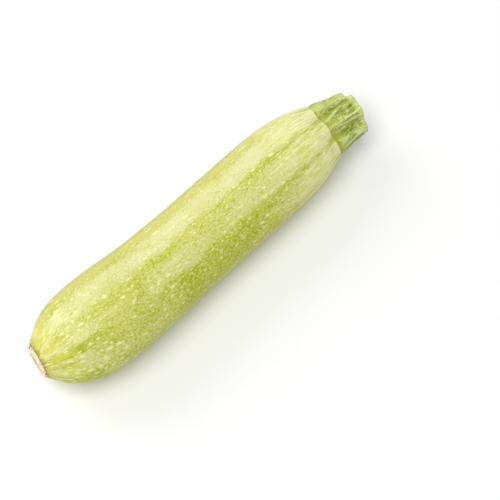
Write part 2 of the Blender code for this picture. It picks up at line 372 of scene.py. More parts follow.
class Recipe:
    """A material under construction. Its methods add nodes and return what comes out of them."""

    shift_shares: Steps = (1.0, 0.7, 1.3)
    smallest_spot: float = 0.03

    def __init__(self, name: str, ground: Colour, roughness: float, specular: float) -> None:
        """Starts a material with its shader.

        Args:
            name: the material's name.
            ground: the colour that all others are laid over.
            roughness: how matt it is.
            specular: how strongly it reflects.
        """
        self.material = bpy.data.materials.new(name)
        self.material.use_nodes = True
        self.tree = self.material.node_tree
        self.tree.nodes.clear()
        self.shader = self._node("BsdfPrincipled", {"Roughness": roughness, "Specular IOR Level": specular})
        self._node("OutputMaterial", {"Surface": self.shader.outputs["BSDF"]})
        self.colour: object = ground
        self.grown = self._node("Attribute", {}, attribute_name=Attribute.GROWN.value).outputs["Vector"]

    def _node(self, kind: str, inputs: dict, **settings: object) -> bpy.types.Node:
        """Adds a node.

        Args:
            kind: what it is.
            inputs: what goes into its sockets, by name or number: a value, or another node's socket.
            settings: its own settings.

        Returns:
            The node.
        """
        node = self.tree.nodes.new("ShaderNode" + kind)
        for name, value in settings.items():
            setattr(node, name, value)
        for key, value in inputs.items():
            socket = node.inputs[key]
            if isinstance(value, bpy.types.NodeSocket):
                self.tree.links.new(value, socket)
            else:
                socket.default_value = (*value, 1.0) if socket.type == "RGBA" else value
        return node

    def measure(self, which: Attribute) -> Socket:
        """A number that the piece carries on its points."""
        return self._node("Attribute", {}, attribute_name=which.value).outputs["Fac"]

    def math(self, operation: str, *numbers: object) -> Socket:
        """A sum on one to three numbers."""
        return self._node("Math", dict(enumerate(numbers)), operation=operation).outputs[0]

    def times(self, *numbers: object) -> object:
        """The product of numbers."""
        out = numbers[0]
        for number in numbers[1:]:
            out = self.math("MULTIPLY", out, number)
        return out

    def total(self, *terms: tuple[object, float]) -> Socket:
        """The sum of numbers, each times its own weight."""
        out: object = 0.0
        for value, weight in terms:
            out = self.math("MULTIPLY_ADD", value, weight, out)
        return out

    def scaled(self, vector: Socket, steps: Steps, shift: float) -> Socket:
        """Coordinates counted in steps of other lengths, and shifted for another pattern."""
        place = [shift * share for share in self.shift_shares]
        scale = [1.0 / step for step in steps]
        return self._node("Mapping", {"Vector": vector, "Scale": scale, "Location": place}).outputs[0]

    def bumps(self, layer: Layer, chart: Socket | None = None) -> Socket:
        """Soft irregular bumps.

        Args:
            layer: what they are like.
            chart: the coordinates to read them at, or None for those that the piece grew along.

        Returns:
            A number round 0.5.
        """
        place = self.scaled(self.grown if chart is None else chart, layer.steps, layer.shift)
        return self._node("TexNoise", {"Vector": place, "Scale": 1.0, "Detail": layer.detail,
                                       "Roughness": layer.roughness}).outputs[0]

    def mask(self, mask: Mask) -> Socket:
        """A layer of bumps, cut off softly."""
        return self.spread(self.bumps(mask.layer), mask.start, mask.end, mask.low, mask.high)

    def joined(self, *numbers: object) -> Socket:
        """A vector of numbers."""
        return self._node("CombineXYZ", dict(enumerate(numbers))).outputs[0]

    def cells(self, vector: Socket, flat: bool = False) -> tuple[Socket, Socket]:
        """Scattered points, one in each cell.

        Args:
            vector: where it is read, in cells.
            flat: leaves the third coordinate out, so that every point lies on the chart.

        Returns:
            The distance from the nearest point, and a random number for that point.
        """
        node = self._node("TexVoronoi", {"Vector": vector, "Scale": 1.0}, voronoi_dimensions="2D" if flat else "3D")
        return node.outputs["Distance"], self._node("SeparateColor", {0: node.outputs["Color"]}).outputs[0]

    def spots(self, scatter: Scatter, chart: Socket | None = None, crowd: object = 1.0,
              fray: object = 0.0) -> Socket:
        """Scatters soft spots.

        Args:
            scatter: what they are like.
            chart: the flat chart that they lie on, or None for the coordinates that the piece grew along.
            crowd: what their radius is multiplied by from place to place.
            fray: what is added to the distance from a spot's middle, to make its edge uneven.

        Returns:
            0 between the spots and 1 in the middle of a spot.
        """
        vector = self.scaled(self.grown if chart is None else chart, scatter.steps, scatter.shift)
        away, chance = self.cells(vector, chart is not None)
        reach = self.times(self.spread(chance, scatter.rarity, 1.0, 0.0, scatter.radius), crowd)
        soft = self.spread(self.math("ADD", away, fray), reach, self.times(reach, scatter.core))
        return self.times(soft, self.math("GREATER_THAN", reach, self.smallest_spot))

    def spread(self, value: object, a: object, b: object, low: object = 0.0, high: object = 1.0) -> Socket:
        """A soft step from low at a to high at b.

        Args:
            value: where it is read.
            a: where it starts.
            b: where it ends.
            low: what it gives up to a.
            high: what it gives from b on.

        Returns:
            The number.
        """
        inputs = dict(enumerate((value, a, b, low, high)))
        return self._node("MapRange", inputs, interpolation_type="SMOOTHSTEP").outputs[0]

    def round_the_roll(self, turn: Socket, stops: Stops) -> Socket:
        """A number that changes round the fruit.

        Args:
            turn: the roll as a part of a full turn, 0.5 on top.
            stops: roll angles in degrees from -180 to 180, each with its number.

        Returns:
            The number.
        """
        node = self._node("ValToRGB", {0: turn})
        ramp = node.color_ramp
        ramp.interpolation = "EASE"
        while len(ramp.elements) < len(stops):
            ramp.elements.new(0.5)
        for element, (roll, number) in zip(ramp.elements, stops):
            element.position = roll / 360.0 + 0.5
            element.color = (number, number, number, 1.0)
        return node.outputs[0]

    def mix(self, factor: object, a: object, b: object) -> Socket:
        """A colour between two others, the factor being how much of the second one shows."""
        return self._node("Mix", {0: factor, 6: a, 7: b}, data_type="RGBA", clamp_factor=True).outputs[2]

    def blend(self, factor: object, a: object, b: object) -> Socket:
        """A number between two others, the factor being how far it is from a to b."""
        return self._node("Mix", {0: factor, 2: a, 3: b}, data_type="FLOAT", clamp_factor=True).outputs[0]

    def split(self, vector: Socket) -> Sequence[Socket]:
        """The three numbers of a vector."""
        return self._node("SeparateXYZ", {0: vector}).outputs

    def lay(self, colour: object, *cover: object) -> None:
        """Lays a colour over those before it.

        Args:
            colour: the colour.
            cover: the numbers whose product says how much of it shows.
        """
        self.colour = self.mix(self.times(*cover), self.colour, colour)

    def done(self, roughness: Socket, relief: Socket, relief_mm: float, strength: float) -> bpy.types.Material:
        """Feeds the shader.

        Args:
            roughness: how matt it is all over.
            relief: the height of the fine relief, from 0 to 1.
            relief_mm: how high 1 is.
            strength: how much of that relief shows.

        Returns:
            The finished material.
        """
        bump = self._node("Bump", {"Strength": strength, "Distance": relief_mm * MM, "Height": relief})
        for name, socket in (("Normal", bump.outputs[0]), ("Base Color", self.colour), ("Roughness", roughness)):
            self.tree.links.new(socket, self.shader.inputs[name])
        return self.material


@dataclass(frozen=True)
class SkinFinish:
    """The pale green skin: soft bands round the fruit, some of them painted sheen and painted shade, light flecks along
    it and dark lines at its ends.

    The bands run round the roll. A zone is a stretch of distances from the blossom end, a reach is counted back
    from the joint, a gap sideways from the nearest suture, and a seat outwards from the scar's rim, all in
    millimetres. Each gives where its finish starts and ends, and then how strong it is before and after.
    """

    deep: Colour = (0.333, 0.364, 0.008)
    green: Colour = (0.45, 0.485, 0.020)
    pale: Colour = (0.635, 0.63, 0.26)
    fleck: Colour = (0.78, 0.80, 0.34)
    yolk: Colour = (0.61, 0.565, 0.11)
    line: Colour = (0.35, 0.415, 0.006)
    wedge: Colour = (0.37, 0.44, 0.005)
    pleat: Colour = (0.52, 0.57, 0.03)
    fibre: Colour = (0.91, 0.88, 0.55)
    # A whitish colour: laid along the upper side as a painted sheen where the soft highlight falls, and more weakly as
    # a pale bloom further round.
    sheen_and_bloom: Colour = (0.74, 0.73, 0.44)
    shoulder: Colour = (0.77, 0.76, 0.27)
    blush: Colour = (0.88, 0.81, 0.52)
    sunny: Colour = (0.70, 0.62, 0.06)
    lip: Colour = (0.74, 0.73, 0.16)
    rust: Colour = (0.57, 0.50, 0.08)
    scab: Colour = (0.30, 0.23, 0.04)
    roughness: float = 0.4
    specular: float = 0.38

    # The low numbers from about 78 to 100 degrees darken the underside: partly the skin's darker stripe, partly painted
    # shade. The dips near -58 degrees darken the top edge as painted shade.
    blossom_band: Stops = (
        (-180, 0.8), (-162, 0.3), (-140, 0.7), (-119, 0.25), (-98, 0.8), (-77, 0.3), (-58, -0.35), (-45, 0.0),
        (-37.8, 0.0), (-27.8, 0.45), (-17.8, 0.85), (-7.8, 1.0), (2.2, 0.75), (12.2, 0.62), (21, 0.4), (28, 0.25),
        (34, -0.15), (42, -0.1), (48, 0.6), (54, 0.45), (62.2, 0.6), (74, 0.5), (86, -0.1), (100, -0.2), (112, 0.2),
        (130, 0.7), (158, 0.2), (180, 0.8))
    belly_band: Stops = (
        (-180, 0.7), (-162, 0.2), (-140, 0.35), (-119, 0.2), (-98, 0.6), (-77, 0.2), (-58, -0.05), (-46, 0.28),
        (-37.8, 0.35), (-27.8, 0.35), (-17.8, 0.5), (-7.8, 0.5), (0, 0.3), (8, 0.1), (17, 0.15), (25, 0.1), (32, 0.1),
        (38, 0.35), (44, 0.35), (50, 0.2), (58, 0.3), (67, 0.52), (78, 0.3), (88, -0.45), (100, -0.55), (112, 0.1),
        (135, 0.6), (158, 0.2), (180, 0.7))
    middle_band: Stops = (
        (-180, 0.75), (-162, 0.3), (-140, 0.12), (-119, 0.2), (-98, 0.7), (-77, 0.25), (-58, -0.05), (-47, 0.36),
        (-37.8, 0.5), (-27.8, 0.85), (-17.8, 0.95), (-7.8, 0.7), (2.2, 0.35), (12.2, 0.45), (22.2, 0.57),
        (32.2, 0.6), (39.2, 0.12), (52.2, 0.08), (68, 0.0), (78, -0.6), (88, -1.0), (98, -0.9), (108, 0.1),
        (118, 0.1), (135, 0.7), (158, 0.25), (180, 0.75))
    stem_band: Stops = (
        (-180, 0.7), (-162, 0.3), (-140, 0.7), (-119, 0.35), (-98, 0.8), (-77, 0.35), (-57.8, 0.5), (-37.8, 0.65),
        (-17.8, 1.0), (-7.8, 0.9), (1, 0.4), (6, 0.42), (12.2, 0.70), (22, 0.60), (32.2, 0.68), (40.2, 0.36),
        (52.2, 0.62), (66, 0.85), (76, 0.8), (84, 0.3), (97, 0.2), (118, 0.3), (138, 0.8), (158, 0.35), (180, 0.7))
    # Where the sheen and bloom colour shows: the full band from about -36 to -1 degrees is the painted sheen, and the
    # weaker bands are pale bloom.
    sheen_and_bloom_band: Stops = ((-180, 0.0), (-36, 0.0), (-24, 1.0), (-9, 1.0), (-1, 0.0), (8, 0.0), (15, 0.4), (31, 0.4),
                         (38, 0.0), (120, 0.0), (140, 0.8), (158, 0.0), (180, 0.0))
    yolk_band: Stops = ((-180, 0.0), (-80, 0.0), (-66, 0.3), (-55, 0.5), (-46, 1.0), (-42, 1.0), (-34, 0.2),
                        (-26, 0.0), (180, 0.0))
    sunny_band: Stops = ((-180, 0.0), (-78, 0.0), (-62, 0.9), (-30, 0.9), (-14, 0.4), (4, 0.95), (20, 0.7),
                         (45, 0.45), (75, 0.3), (90, 0.0), (180, 0.0))

    belly_zone: Fade = (16.0, 28.0)
    middle_zone: Fade = (44.0, 78.0)
    stem_zone: Fade = (118.0, 152.0)
    near_blossom_zone: Fade = (34.0, 8.0)
    near_stem_zone: Fade = (136.0, 168.0)
    pleat_zone: Fade = (19.0, 5.0, 0.0, 0.8)
    sunny_zone: Fade = (15.0, 6.0)
    fibre_zone: Fade = (138.0, 174.0)
    short_fibre_zone: Fade = (14.0, 4.0, 0.0, 0.25)
    dash_zone: Fade = (122.0, 158.0)
    long_fleck_zone: Fade = (44.0, 24.0)
    shoulder_reach: Fade = (36.0, 4.0, 0.0, 0.75)
    stripe_reach: Fade = (46.0, 14.0)
    tip_reach: Fade = (4.4, 0.8)
    lip_reach: Fade = (1.0, 0.4, 0.0, 0.5)
    wedge_reach: Fade = (8.0, 2.0)
    wedge_width: Fade = (7.0, 0.0, 0.7, 1.7)
    joint_reach: Fade = (0.0, 0.8)
    line_gap: Fade = (2.3, 0.4)
    shoulder_gap: Fade = (0.3, 2.5)
    tip_gap: Fade = (1.2, 3.2)
    rust_seat: Fade = (7.0, 5.2, 0.0, 0.85)
    scab_seat: Fade = (5.4, 4.6, 0.0, 0.75)
    scabs_seat: Fade = (2.6, 1.2, 0.0, 0.9)

    wander: Layer = Layer((14, 14, 26))
    wander_turns: float = 0.030
    jitter: Layer = Layer((1.1, 1.1, 4.5), 5.0)
    jitter_turns: float = 0.022
    frayed: Layer = Layer((1.2, 1.2, 3.5), 5.0, 3.0, 0.65)
    frayed_mm: float = 3.4
    patches: Layer = Layer((6.0, 6.0, 15.0), 2.0, 4.0, 0.6)
    grain: Layer = Layer((0.8, 0.8, 2.1), 3.0, 3.0, 0.6)
    ragged: Layer = Layer((2.6, 2.6, 2.6), 71.0, 3.0, 0.6)
    ragged_mm: float = 8.0
    pores: Layer = Layer((0.35, 0.35, 0.45), 77.0, 2.0, 0.6)
    speckle_steps: Steps = (1.1, 1.5, 1.0)
    yolk_clouds: Mask = Mask(Layer((15.0, 15.0, 22.0), 9.0, 3.0, 0.6), 0.50, 0.72, 0.0, 0.5)
    mottle: Mask = Mask(Layer((1.4, 1.4, 6.0), 81.0, 3.0, 0.65), 0.42, 0.55, 0.05)
    breaks: Mask = Mask(Layer((0.9, 0.9, 5.0), 7.0, 3.0, 0.6), 0.33, 0.56, 0.15)
    pleats: Mask = Mask(Layer((4.5, 4.5, 30.0), 51.0, 2.0, 0.6), 0.47, 0.58)
    sun: Mask = Mask(Layer((1.5, 1.5, 9.0), 57.0, 2.0, 0.6), 0.45, 0.58, 0.15, 0.85)
    rows: Mask = Mask(Layer((2.6, 2.6, 60.0), 11.0, 1.0), 0.38, 0.62, 0.6, 1.15)
    fibres: Mask = Mask(Layer((0.55, 0.55, 9.0), 31.0, 3.0, 0.65), 0.47, 0.60)
    stripes: Mask = Mask(Layer((0.75, 0.75, 6.0), 91.0, 3.0, 0.65), 0.52, 0.61, 0.0, 0.54)
    tips: Mask = Mask(Layer((1.1, 1.1, 7.0), 61.0), 0.46, 0.58)
    scabs: Scatter = Scatter((3.6, 3.6, 2.0), 72.0, 0.3, 0.6)
    flecks: tuple[tuple[Scatter, float], ...] = (
        (Scatter((6.0, 10.0, 1.0), 3.0, 0.50, 0.221), 0.86),
        (Scatter((3.6, 6.0, 1.0), 21.0, 0.40, 0.286), 0.72),
        (Scatter((1.9, 3.5, 1.0), 43.0, 0.30, 0.351), 0.70),
        (Scatter((1.1, 2.1, 1.0), 67.0, 0.25, 0.429), 0.52),
    )
    dashes: Scatter = Scatter((1.7, 12.0, 1.0), 88.0, 0.35, 0.42, 0.4)
    long_flecks: Scatter = Scatter((3.4, 5.6, 1.0), 95.0, 0.12, 0.38, 0.2)
    edge: float = 0.22
    fray: float = 0.4
    long_fray: float = 0.5

    def material(self) -> bpy.types.Material:
        """Mixes the skin.

        Returns:
            The material.
        """
        r = Recipe("skin", self.deep, self.roughness, self.specular)
        across, along, distance = r.split(r.grown)
        reach, drawn, seat = (r.measure(a) for a in (Attribute.REACH, Attribute.DRAWN, Attribute.SEAT))
        roll = r.math("ARCTAN2", along, across)
        turn = r.total((roll, 0.5 / math.pi), (1.0, 0.5 - (self.wander_turns + self.jitter_turns) / 2),
                       (r.bumps(self.wander), self.wander_turns), (r.bumps(self.jitter), self.jitter_turns))
        flat = r.joined(r.times(roll, PATTERN_RADIUS_MM), distance)
        gap = r.total((r.measure(Attribute.AWAY), 1.0), (r.bumps(self.frayed), self.frayed_mm),
                      (1.0, -self.frayed_mm / 2))

        tone = r.round_the_roll(turn, self.blossom_band)
        for zone, band in ((self.belly_zone, self.belly_band), (self.middle_zone, self.middle_band),
                           (self.stem_zone, self.stem_band)):
            tone = r.blend(r.spread(distance, *zone), tone, r.round_the_roll(turn, band))
        near_blossom = r.spread(distance, *self.near_blossom_zone)
        patches, grain = r.bumps(self.patches), r.bumps(self.grain)
        speckle, _ = r.cells(r.scaled(flat, self.speckle_steps, 4.0), flat=True)
        tone = r.total((tone, 1.0), (patches, 1.2), (grain, 1.6), (speckle, -1.0),
                       (r.spread(distance, *self.near_stem_zone), 0.22), (r.times(near_blossom, patches), 2.8),
                       (r.times(near_blossom, grain), 1.8), (near_blossom, -2.30), (1.0, -0.98))
        r.lay(self.green, r.spread(tone, -0.55, 0.30))
        r.lay(self.pale, tone)
        yolk = r.times(r.round_the_roll(turn, self.yolk_band), r.spread(patches, 0.3, 0.5, 0.3, 0.8))
        r.lay(self.yolk, r.math("MAXIMUM", r.mask(self.yolk_clouds), yolk))
        # Painted sheen: a whitish band along the upper side, with weaker pale bloom elsewhere round the fruit.
        r.lay(self.sheen_and_bloom, r.round_the_roll(turn, self.sheen_and_bloom_band), r.spread(patches, 0.3, 0.6, 0.12, 0.42))
        r.lay(self.shoulder, r.spread(reach, *self.shoulder_reach), r.spread(gap, *self.shoulder_gap),
              r.mask(self.mottle))
        breaks = r.mask(self.breaks)
        r.lay(self.line, r.spread(gap, *self.line_gap), drawn, breaks)

        r.lay(self.pleat, r.mask(self.pleats), r.spread(distance, *self.pleat_zone))
        r.lay(self.sunny, r.mask(self.sun), r.round_the_roll(turn, self.sunny_band),
              r.spread(distance, *self.sunny_zone))
        flecks = self.flecked(r, flat, distance)
        r.lay(self.fleck, flecks)
        fibres = r.times(r.mask(self.fibres), r.math("MAXIMUM", r.spread(distance, *self.fibre_zone),
                                                     r.spread(distance, *self.short_fibre_zone)))
        r.lay(self.fibre, fibres, 0.88)
        r.lay(self.pleat, r.mask(self.stripes), r.spread(reach, *self.stripe_reach))
        r.lay(self.blush, r.spread(reach, *self.tip_reach), r.spread(gap, *self.tip_gap), r.mask(self.tips), 0.6)
        r.lay(self.lip, r.spread(reach, *self.lip_reach))
        r.lay(self.wedge, r.spread(gap, r.spread(reach, *self.wedge_width), 0.3), r.spread(reach, *self.wedge_reach),
              r.spread(breaks, 0.15, 1.0, 0.6, 0.95), r.spread(reach, *self.joint_reach))
        ragged = r.total((seat, 1.0), (r.bumps(self.ragged), self.ragged_mm))
        r.lay(self.rust, r.spread(ragged, *self.rust_seat))
        r.lay(self.scab, r.spread(ragged, *self.scab_seat))
        r.lay(self.scab, r.spots(self.scabs), r.spread(seat, *self.scabs_seat))

        relief = r.total((grain, 0.45), (r.bumps(self.pores), 0.25), (flecks, 0.3), (fibres, 0.25))
        gloss = r.total((grain, 0.16), (flecks, 0.06), (1.0, self.roughness - 0.08))
        return r.done(gloss, relief, 0.16, 0.5)

    def flecked(self, r: Recipe, flat: Socket, distance: Socket) -> Socket:
        """Scatters light flecks of several sizes, drawn out along the fruit and longest near the stem.

        Args:
            r: the material they belong to.
            flat: the skin's coordinates laid out flat: round the fruit, and along it.
            distance: how far the place is from the blossom end.

        Returns:
            How much of the fleck's colour shows.
        """
        rows = r.mask(self.rows)
        out = r.times(r.spots(self.dashes, flat, r.spread(distance, *self.dash_zone)), 0.8)
        for scatter, strength in self.flecks:
            wide, long, deep = scatter.steps
            edge = r.bumps(Layer((wide * self.edge, long * self.edge, deep), scatter.shift, 2.0, 0.6), flat)
            spots = r.spots(scatter, flat, rows, r.total((edge, self.fray), (1.0, -self.fray / 2)))
            out = r.math("MAXIMUM", out, r.times(spots, strength))
        crowd = r.spread(distance, *self.long_fleck_zone)
        spots = r.spots(self.long_flecks, flat, crowd, r.total((edge, self.long_fray), (1.0, -self.long_fray / 2)))
        return r.math("MAXIMUM", out, r.times(spots, 0.8))


@dataclass(frozen=True)
class StemFinish:
    """The dark green ribbed stem, streaked along its length, with painted shade in its furrows and along its edges, and
    a pale cut face.

    Its reaches lie on the cut face, from 0 in the middle to 1 at the rind.
    """

    dark: Colour = (0.19, 0.24, 0.030)
    mid: Colour = (0.35, 0.41, 0.085)
    pale: Colour = (0.60, 0.665, 0.27)
    rind: Colour = (0.20, 0.28, 0.035)
    joint: Colour = (0.33, 0.345, 0.02)
    sallow: Colour = (0.50, 0.57, 0.09)
    flesh: Colour = (0.50, 0.60, 0.105)
    pith: Colour = (0.42, 0.53, 0.065)
    bundle: Colour = (0.66, 0.69, 0.32)
    roughness: float = 0.5
    specular: float = 0.35

    bands: Layer = Layer((2.4, 2.4, 30.0), 3.0)
    streaks: Layer = Layer((0.8, 0.8, 9.0), 13.0, 2.0, 0.6)
    speckle: Layer = Layer((0.6, 0.6, 1.0), 23.0, 2.0, 0.6)
    uneven: Layer = Layer((2.2, 2.2, 6.0), 53.0, 2.0, 0.6)
    uneven_mm: float = 16.0
    patches: Mask = Mask(Layer((3.0, 3.0, 8.0), 43.0), 0.52, 0.68, 0.0, 0.5)
    crumbs: Mask = Mask(Layer((0.5, 0.5, 0.5), 4.0, 3.0, 0.6), 0.45, 0.75, 0.0, 0.35)
    knobs: Scatter = Scatter((1.7, 1.7, 2.6), 8.0, 0.25, 0.55, 0.1)
    bundle_steps: Steps = (2.4, 2.4, 400.0)
    sallow_mm: Fade = (10.0, 2.0, 0.0, 0.5)
    joint_mm: Fade = (11.0, 8.6, 0.0, 0.8)
    rim_mm: Fade = (3.8, 0.8)
    ring_start: Fade = (0.50, 0.62)
    ring_end: Fade = (0.92, 0.82)
    pith_reach: Fade = (0.62, 0.25)
    rind_reach: Fade = (0.90, 0.97, 0.0, 0.9)

    def material(self, joint_at: float) -> bpy.types.Material:
        """Mixes the stem's finish.

        Args:
            joint_at: the distance in millimetres at which the stem leaves the fruit.

        Returns:
            The material.
        """
        r = Recipe("stem_rind", self.dark, self.roughness, self.specular)
        ridge, crest, cut, reach, short = (r.measure(a) for a in (
            Attribute.RIDGE, Attribute.CREST, Attribute.CUT, Attribute.REACH, Attribute.AWAY))
        beyond = r.total((r.split(r.grown)[2], 1.0), (1.0, -joint_at))

        streaks, speckle = r.bumps(self.streaks), r.bumps(self.speckle)
        # The ridge term paints shade into the furrows. Crest carries the streaks, and a few of the dark ones are
        # painted shade along the stem's edges.
        tone = r.total((ridge, 0.6), (r.bumps(self.bands), 0.8), (streaks, 2.5), (speckle, 2.4), (crest, 0.8),
                       (1.0, -2.96))
        r.lay(self.mid, r.spread(tone, -0.30, 0.38))
        r.lay(self.pale, r.spread(tone, 0.32, 1.05))
        knobs = r.spots(self.knobs)
        r.lay(self.pale, knobs, 0.75)
        r.lay(self.sallow, r.math("MAXIMUM", r.mask(self.patches), r.spread(beyond, *self.sallow_mm)))
        r.lay(self.pale, r.spread(short, *self.rim_mm), r.spread(streaks, 0.38, 0.54, 0.45, 1.0))
        uneven = r.total((beyond, 1.0), (r.bumps(self.uneven), self.uneven_mm))
        r.lay(self.joint, r.spread(uneven, *self.joint_mm))

        spokes, _ = r.cells(r.scaled(r.grown, self.bundle_steps, 15.0))
        bundles = r.times(r.spread(spokes, 0.36, 0.18), r.spread(reach, *self.ring_start),
                          r.spread(reach, *self.ring_end))
        flesh = r.mix(r.spread(reach, *self.pith_reach), self.flesh, self.pith)
        flesh = r.mix(r.times(bundles, 0.75), flesh, self.bundle)
        flesh = r.mix(r.spread(reach, *self.rind_reach), flesh, self.rind)
        r.lay(r.mix(r.mask(self.crumbs), flesh, self.dark), cut)

        relief = r.total((streaks, 0.5), (speckle, 0.35), (knobs, 0.25), (bundles, 0.3))
        gloss = r.total((speckle, 0.18), (1.0, self.roughness - 0.09), (cut, 0.1))
        return r.done(gloss, relief, 0.35, 0.6)


@dataclass(frozen=True)
class CorkFinish:
    """The dry corky scar: cream and pink, creased, with brown remains of the flower at its edge.

    Its reaches run from 0 in the middle of the scar to 1 at its rim.
    """

    cream: Colour = (0.90, 0.81, 0.58)
    peach: Colour = (0.78, 0.55, 0.30)
    rosy: Colour = (0.89, 0.76, 0.58)
    tan: Colour = (0.66, 0.50, 0.26)
    brown: Colour = (0.24, 0.14, 0.05)
    green: Colour = (0.45, 0.50, 0.10)
    roughness: float = 0.72
    specular: float = 0.25

    clouds: Layer = Layer((2.2, 2.2, 2.2), 0.0, 3.0, 0.6)
    crumbs: Layer = Layer((0.4, 0.4, 0.4), 6.0, 3.0, 0.6)
    moss: Mask = Mask(Layer((3.0, 3.0, 3.0), 14.0), 0.62, 0.70)
    specks: Scatter = Scatter((2.6, 2.6, 2.6), 4.0, 0.4, 0.5)
    peach_reach: Fade = (0.76, 0.50)
    ring_start: Fade = (0.22, 0.27)
    ring_end: Fade = (0.34, 0.29)
    pit_reach: Fade = (0.16, 0.06)
    speck_reach: Fade = (0.74, 0.95)
    moss_reach: Fade = (0.80, 0.92, 0.0, 0.6)

    def material(self) -> bpy.types.Material:
        """Mixes the cork.

        Returns:
            The material.
        """
        r = Recipe("dry_cork", self.cream, self.roughness, self.specular)
        reach, ridge, remains = (r.measure(a) for a in (Attribute.REACH, Attribute.RIDGE, Attribute.REMAINS))
        cloud, crumb = r.bumps(self.clouds), r.bumps(self.crumbs)
        r.lay(self.rosy, r.spread(cloud, 0.38, 0.62))
        r.lay(self.peach, r.spread(reach, *self.peach_reach), r.spread(cloud, 0.35, 0.6, 0.45, 0.95))
        r.lay(self.tan, r.spread(ridge, 0.45, 0.1), 0.35)
        ring = r.times(r.spread(reach, *self.ring_start), r.spread(reach, *self.ring_end), 0.6)
        pit = r.math("MAXIMUM", ring, r.spread(reach, *self.pit_reach))
        r.lay(self.brown, pit, r.spread(crumb, 0.40, 0.56, 0.1, 0.8))
        r.lay(self.brown, r.spread(reach, *self.speck_reach), r.spots(self.specks), 0.35)
        r.lay(self.brown, remains, r.spread(crumb, 0.30, 0.50, 0.6, 1.0))
        r.lay(self.green, r.mask(self.moss), r.spread(reach, *self.moss_reach))
        r.lay(self.tan, r.spread(crumb, 0.52, 0.75, 0.0, 0.3))
        relief = r.total((crumb, 0.6), (cloud, 0.4))
        gloss = r.total((crumb, 0.2), (1.0, self.roughness - 0.1))
        return r.done(gloss, relief, 0.35, 0.7)


# ---------------------------------------------------------------------------------------------- pieces


@dataclass(frozen=True)
class Suture:
    """A dark line along the fruit: its roll angles in degrees and its strengths, by millimetres from the scar."""

    path: Stops
    strengths: Stops

    def measure(self, roll: np.ndarray, radius: np.ndarray, distance: np.ndarray) -> tuple[np.ndarray, np.ndarray]:
        """How far places are from the line, and how strong it is there.

        Args:
            roll: the roll angles in radians.
            radius: the distances from the fruit's middle in millimetres.
            distance: the distances from the blossom end in millimetres.

        Returns:
            Millimetres from the line, and 0 to 1 for its strength.
        """
        middle = np.radians(np.interp(distance, *zip(*self.path)))
        gap = np.abs((roll - middle + math.pi) % (2 * math.pi) - math.pi) * radius
        return gap, np.interp(distance, *zip(*self.strengths))


